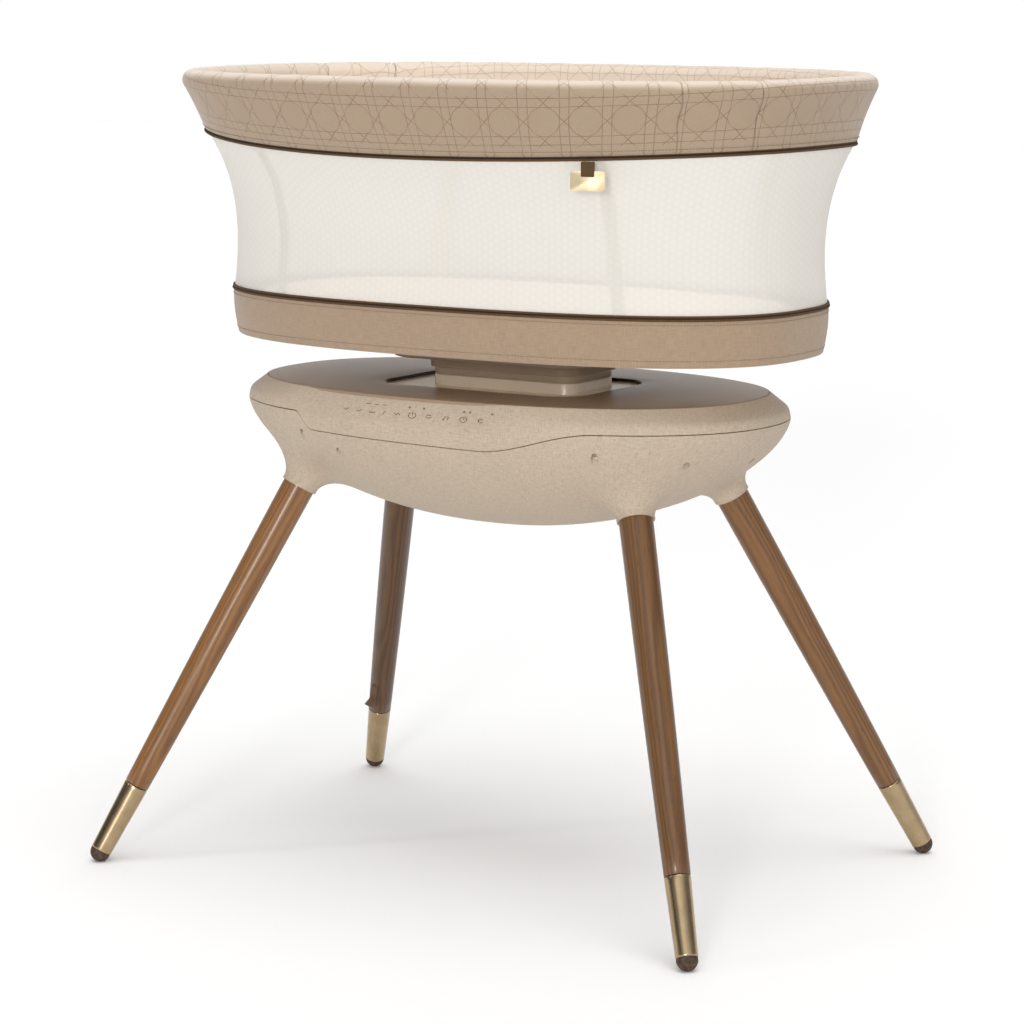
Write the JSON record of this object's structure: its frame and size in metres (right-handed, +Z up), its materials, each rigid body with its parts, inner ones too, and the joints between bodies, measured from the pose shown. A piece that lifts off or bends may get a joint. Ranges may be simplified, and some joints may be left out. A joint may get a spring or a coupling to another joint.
{
  "type": "bassinet on stand",
  "caption": "Oval mesh-sided bassinet with a padded rim, gliding on a post over an oval pod carried by splayed wooden legs.",
  "frame": {"origin": "on the floor, midway between the four feet", "axes": "+X along the bassinet, +Y to the back, away from the touch panel, +Z up"},
  "size_m": [0.8312, 0.586, 0.927],
  "materials": {
    "linen_shell": "moulded plastic with a woven linen texture",
    "satin_taupe": "smooth satin moulding",
    "steel": "zinc-plated steel",
    "walnut": "oiled walnut, grain along the leg",
    "satin_brass": "satin champagne metal",
    "dark_rubber": "soft dark brown rubber",
    "black_plastic": "black moulding",
    "circuit_board": "solder-masked board",
    "nylon": "natural nylon",
    "cream_plastic": "cream moulding",
    "band_fabric": "fine tan twill",
    "brown_piping": "dark brown woven tape",
    "mesh_fabric": "open cream spacer mesh",
    "cane_print_fabric": "padded tan fabric with a tone-on-tone cane-weave print",
    "mattress_fabric": "quilted cream jersey",
    "tag_metal": "polished pale gold plate, blank"
  },
  "bodies": {
    "stand": {"lower_shell": "linen_shell", "upper_shell": "linen_shell", "deck": "satin_taupe", "chassis_plate": "steel", "chassis_screws": "steel", "leg_front_left": "walnut", "leg_front_right": "walnut", "leg_back_left": "walnut", "leg_back_right": "walnut", "ferrule_front_left": "satin_brass", "ferrule_front_right": "satin_brass", "ferrule_back_left": "satin_brass", "ferrule_back_right": "satin_brass", "foot_front_left": "dark_rubber", "foot_front_right": "dark_rubber", "foot_back_left": "dark_rubber", "foot_back_right": "dark_rubber", "leg_studs": "steel", "leg_inserts": "satin_brass", "shell_screws": "steel", "cord_clip": "walnut", "power_inlet": "black_plastic", "main_board": "circuit_board", "touch_board": "circuit_board", "speaker": "black_plastic", "x_rail_front": "steel", "x_rail_back": "steel", "x_rail_blocks": "black_plastic", "x_motor": "black_plastic"},
    "x_pinion": {"x_pinion": "nylon"},
    "x_stage": {"x_rack": "nylon", "x_carriage": "steel", "y_rail_left": "steel", "y_rail_right": "steel", "y_rail_blocks": "black_plastic", "y_motor": "black_plastic"},
    "y_pinion": {"y_pinion": "nylon"},
    "cradle": {"y_rack": "nylon", "y_carriage": "steel", "shutter_plate": "cream_plastic", "post_lower": "satin_taupe", "post_upper": "satin_taupe", "dock_plate": "satin_taupe", "dock_bolts": "steel", "tray_board": "cream_plastic", "tray_cover": "band_fabric", "lower_piping": "brown_piping", "mesh_front": "mesh_fabric", "mesh_back": "mesh_fabric", "strut_front_left": "cream_plastic", "strut_front_right": "cream_plastic", "strut_back_left": "cream_plastic", "strut_back_right": "cream_plastic", "upper_piping": "brown_piping", "rim_frame": "steel", "rim_cover": "cane_print_fabric", "tag_loop": "brown_piping", "tag_plate": "tag_metal"},
    "mattress": {"mattress": "mattress_fabric"}
  },
  "joints": [
    {"name": "x_glide", "type": "slide", "parent": "stand", "child": "x_stage", "axis": [1, 0, 0], "range_m": [-0.037, 0.017]},
    {"name": "y_glide", "type": "slide", "parent": "x_stage", "child": "cradle", "axis": [0, 1, 0], "range_m": [-0.032, 0.022]},
    {"name": "x_pinion_spin", "type": "hinge", "parent": "stand", "child": "x_pinion", "pos_m": [-0.06, 0, 0.514], "axis": [0, 0, 1], "range_deg": [-72, 154]},
    {"name": "y_pinion_spin", "type": "hinge", "parent": "x_stage", "child": "y_pinion", "pos_m": [0.04, 0, 0.537], "axis": [0, 0, 1], "range_deg": [-133, 93]},
    {"name": "mattress_lift", "type": "slide", "parent": "cradle", "child": "mattress", "axis": [0, 0, 1], "range_m": [0, 0.32]}
  ],
  "couplings": [
    {"joint": "x_pinion_spin", "follows": "x_glide", "rad_per_m": -71.429},
    {"joint": "y_pinion_spin", "follows": "y_glide", "rad_per_m": 71.429}
  ]
}
